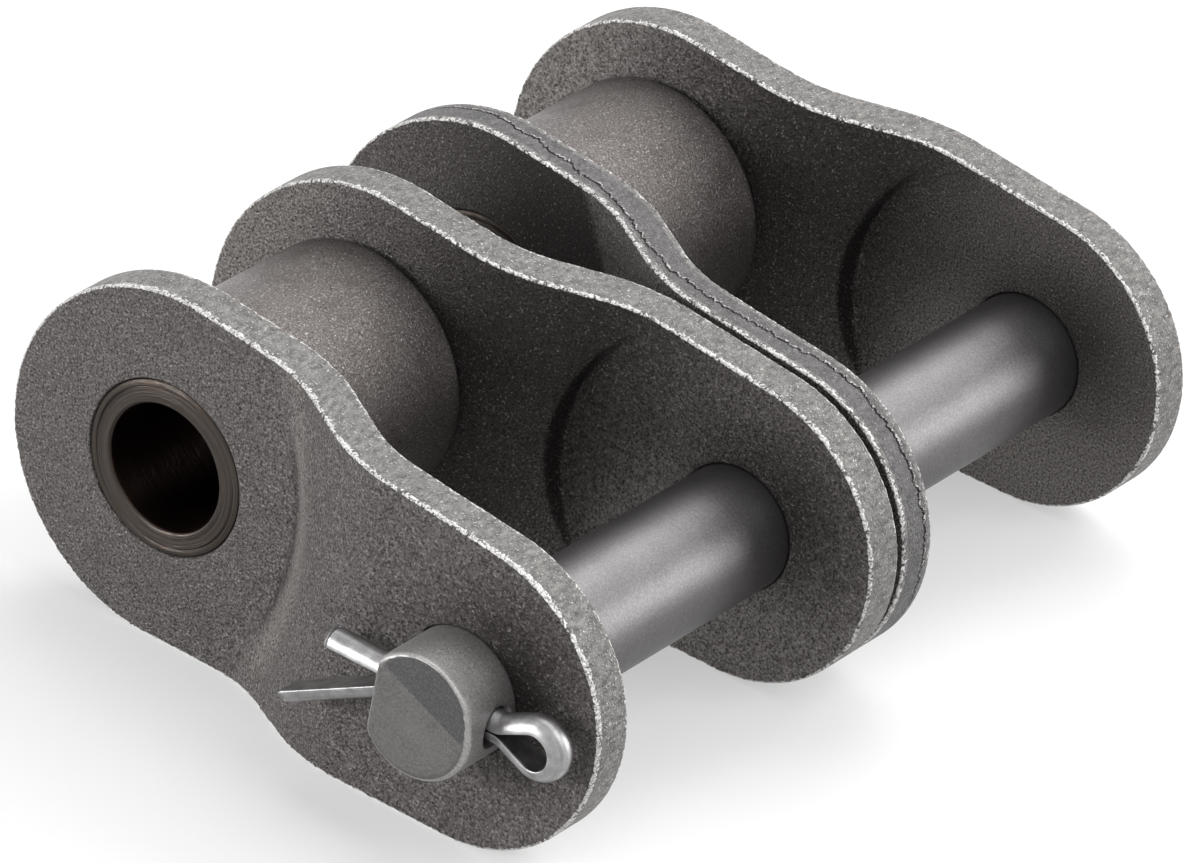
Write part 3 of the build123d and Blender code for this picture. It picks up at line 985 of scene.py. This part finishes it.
# White paper: it glows a little of its own, which keeps it white, and the link's shadow stays
# on it
paper, tree = new_material("white_paper")
white = linear("#ffffff")
lit = add_node(tree, "ShaderNodeBsdfDiffuse", {"Color": linear("#fcfcfc")})
glow = add_node(tree, "ShaderNodeEmission", {"Color": white, "Strength": 1.0})
share = add_node(tree, "ShaderNodeMapRange", {"Value": seen_directly(tree), "To Max": 0.45})
both = add_node(tree, "ShaderNodeMixShader", {0: share, 1: lit, 2: glow})
add_node(tree, "ShaderNodeOutputMaterial", {"Surface": both})
sheet.materials.append(paper)


# Light: an even white room with soft boxes overhead and on the right, two behind that shine
# along the edges, pin and rollers, and a low one on the front left that rakes across the near
# plate
world = bpy.data.worlds.new("studio_room")
bpy.context.scene.world = world
world.use_nodes = True
tree = world.node_tree
tree.nodes.clear()
strength = {"Value": seen_directly(tree), "To Min": 0.2, "To Max": 1.0}
strength = add_node(tree, "ShaderNodeMapRange", strength)
room = add_node(tree, "ShaderNodeBackground", {"Color": white, "Strength": strength})
add_node(tree, "ShaderNodeOutputWorld", {"Surface": room})

for name, position, size, power in (
    ("overhead_soft_box", (-0.3, 0.4, 1.0), 0.7, 5.0),
    ("right_soft_box", (0.55, 0.05, 0.85), 0.5, 3.0),
    ("back_soft_box", (-0.05, 0.8, 0.62), 0.8, 6.5),
    ("back_right_soft_box", (0.75, 0.75, 0.34), 0.6, 7.0),
    ("front_left_soft_box", (-0.62, -0.75, 0.14), 0.35, 10.0),
):
    lamp = bpy.data.lights.new(name, "AREA")
    lamp.shape = "SQUARE"
    lamp.size = size
    lamp.energy = power
    holder = bpy.data.objects.new(name, lamp)
    holder.location = position
    holder.rotation_euler = Vector(position).to_track_quat("Z", "Y").to_euler()
    bpy.context.scene.collection.objects.link(holder)


# Camera: a long lens above and to the right of the near side, rolled a little to its left, so
# that the far strand stands to the upper right of the near one
target = Vector((10.55, 4.28, -4.20)) / 1000
distance, azimuth, elevation, roll = 0.640, *np.radians((31.624, 32.480, 11.144))
back = Vector(
    (
        np.sin(azimuth) * np.cos(elevation),
        -np.cos(azimuth) * np.cos(elevation),
        np.sin(elevation),
    )
)
level = Vector((np.cos(azimuth), np.sin(azimuth), 0))
upright = back.cross(level)
right = level * np.cos(roll) + upright * np.sin(roll)
up = upright * np.cos(roll) - level * np.sin(roll)
camera = bpy.data.cameras.new("photo_camera")
camera.sensor_width = 36.0
camera.lens = 319.74
camera.clip_start = 0.05
camera.clip_end = 20.0
viewer = bpy.data.objects.new("photo_camera", camera)
viewer.matrix_world = Matrix.Translation(target + back * distance) @ Matrix(
    (right, up, back)
).transposed().to_4x4()
bpy.context.scene.collection.objects.link(viewer)
bpy.context.scene.camera = viewer
bpy.context.scene.view_settings.view_transform = "Standard"
